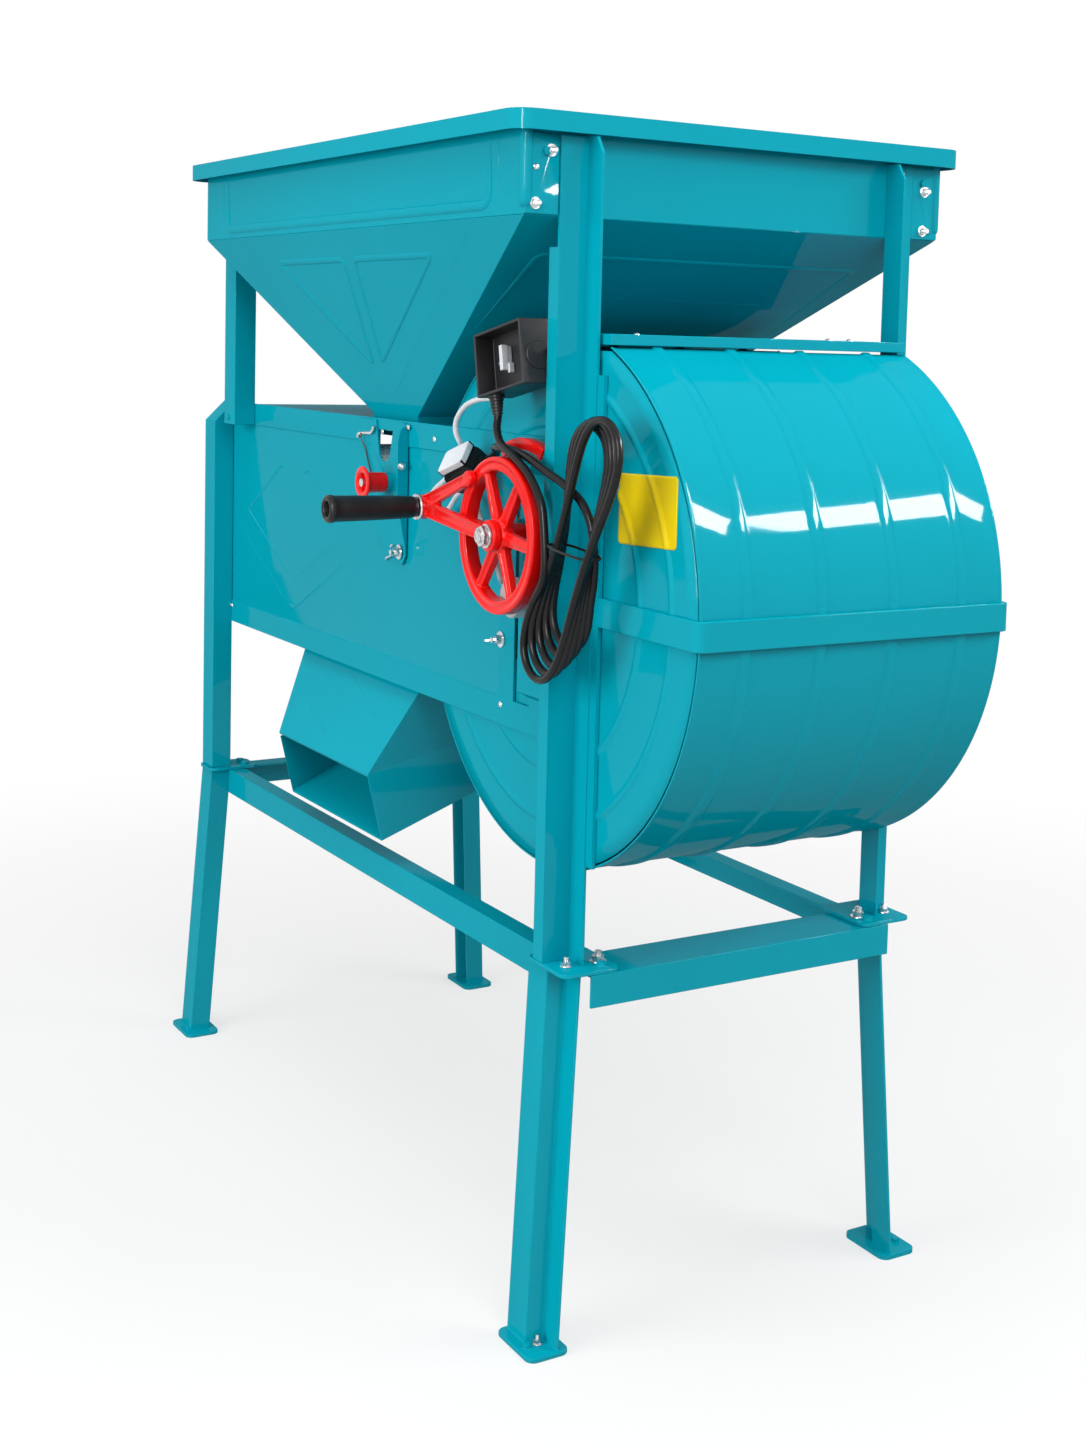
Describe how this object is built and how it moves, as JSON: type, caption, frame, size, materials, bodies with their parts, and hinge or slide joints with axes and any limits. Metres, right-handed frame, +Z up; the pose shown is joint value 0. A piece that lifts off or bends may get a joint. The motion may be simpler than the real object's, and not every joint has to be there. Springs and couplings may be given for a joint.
{
  "type": "grain winnower",
  "caption": "Hand-cranked and motor-driven grain winnower: hopper over a long air duct, round fan drum, side grain chute, splayed legs, crank with turning grip and a tied power cord.",
  "frame": {"origin": "on the floor under the centre of the machine's bounding box, measured without the power cord, its hank and plug", "axes": "+X towards the fan drum, -Y towards the operator who turns the crank, +Z up"},
  "size_m": [1.2802, 0.6568, 1.25],
  "materials": {
    "teal_paint": "gloss teal paint",
    "red_paint": "gloss red paint on castings",
    "zinc_steel": "zinc plated",
    "dark_steel": "blackened",
    "black_plastic": "matt black",
    "white_plastic": "white",
    "black_rubber": "black",
    "grey_cast": "cast, matt grey"
  },
  "bodies": {
    "machine": {"bearing_bridge_back": "teal_paint", "cord_gland": "black_plastic", "cord_hank": "black_rubber", "drive_bracket": "teal_paint", "drum_cover": "teal_paint", "drum_shell_lower": "teal_paint", "drum_shell_rear": "teal_paint", "drum_shell_upper": "teal_paint", "drum_side_back": "teal_paint", "drum_side_front": "teal_paint", "drum_strap": "teal_paint", "duct_deck": "teal_paint", "duct_floor": "teal_paint", "duct_panel_back": "teal_paint", "duct_panel_front": "teal_paint", "gate_hook": "zinc_steel", "grain_chute": "teal_paint", "hopper_band": "teal_paint", "hopper_cone": "teal_paint", "hopper_rim": "teal_paint", "knee_plate_drum_back": "teal_paint", "knee_plate_drum_front": "teal_paint", "knee_plate_duct_back": "teal_paint", "knee_plate_duct_front": "teal_paint", "leg_drum_back": "teal_paint", "leg_drum_front": "teal_paint", "leg_duct_back": "teal_paint", "leg_duct_front": "teal_paint", "motor": "grey_cast", "motor_lead": "white_plastic", "plug": "black_rubber", "plug_cord": "black_rubber", "post_drum_back": "teal_paint", "post_drum_front": "teal_paint", "post_duct_back": "teal_paint", "post_duct_front": "teal_paint", "post_hopper_back": "teal_paint", "post_hopper_front": "teal_paint", "power_cord": "black_rubber", "rail_back": "teal_paint", "rail_drum_end": "teal_paint", "rail_duct_end": "teal_paint", "rail_front": "teal_paint", "regulator_plate": "teal_paint", "switch_box": "black_plastic", "wheel_guard": "red_paint"},
    "crank": {"crank_arm": "red_paint", "crank_gear": "dark_steel", "crank_nut": "zinc_steel", "crank_shaft": "zinc_steel", "grip_pin": "zinc_steel", "hand_wheel": "red_paint"},
    "turning_grip": {"grip": "black_rubber"},
    "fan": {"fan_pinion": "dark_steel", "fan_rotor": "dark_steel", "fan_shaft": "zinc_steel"},
    "feed_gate": {"feed_flap": "zinc_steel", "regulator_knob": "red_paint"},
    "speed_knob": {"switch_knob": "white_plastic"}
  },
  "joints": [
    {"name": "crank_spin", "type": "hinge", "parent": "machine", "child": "crank", "pos_m": [0.3519, -0.19755, 0.828], "axis": [0, -1, 0], "continuous": true},
    {"name": "grip_spin", "type": "hinge", "parent": "crank", "child": "turning_grip", "pos_m": [0.19576, -0.27355, 0.84441], "axis": [0, -1, 0], "continuous": true},
    {"name": "fan_spin", "type": "hinge", "parent": "machine", "child": "fan", "pos_m": [0.3489, 0.04645, 0.763], "axis": [0, -1, 0], "continuous": true},
    {"name": "feed_gate_swing", "type": "hinge", "parent": "machine", "child": "feed_gate", "pos_m": [-0.0311, 0.04645, 0.853], "axis": [0, -1, 0], "range_deg": [0, 60]},
    {"name": "speed_knob_turn", "type": "hinge", "parent": "machine", "child": "speed_knob", "pos_m": [0.33305, -0.18355, 1.00865], "axis": [0, -1, 0], "range_deg": [0, 90]}
  ],
  "couplings": [
    {"joint": "fan_spin", "follows": "crank_spin", "ratio": -2.25}
  ]
}
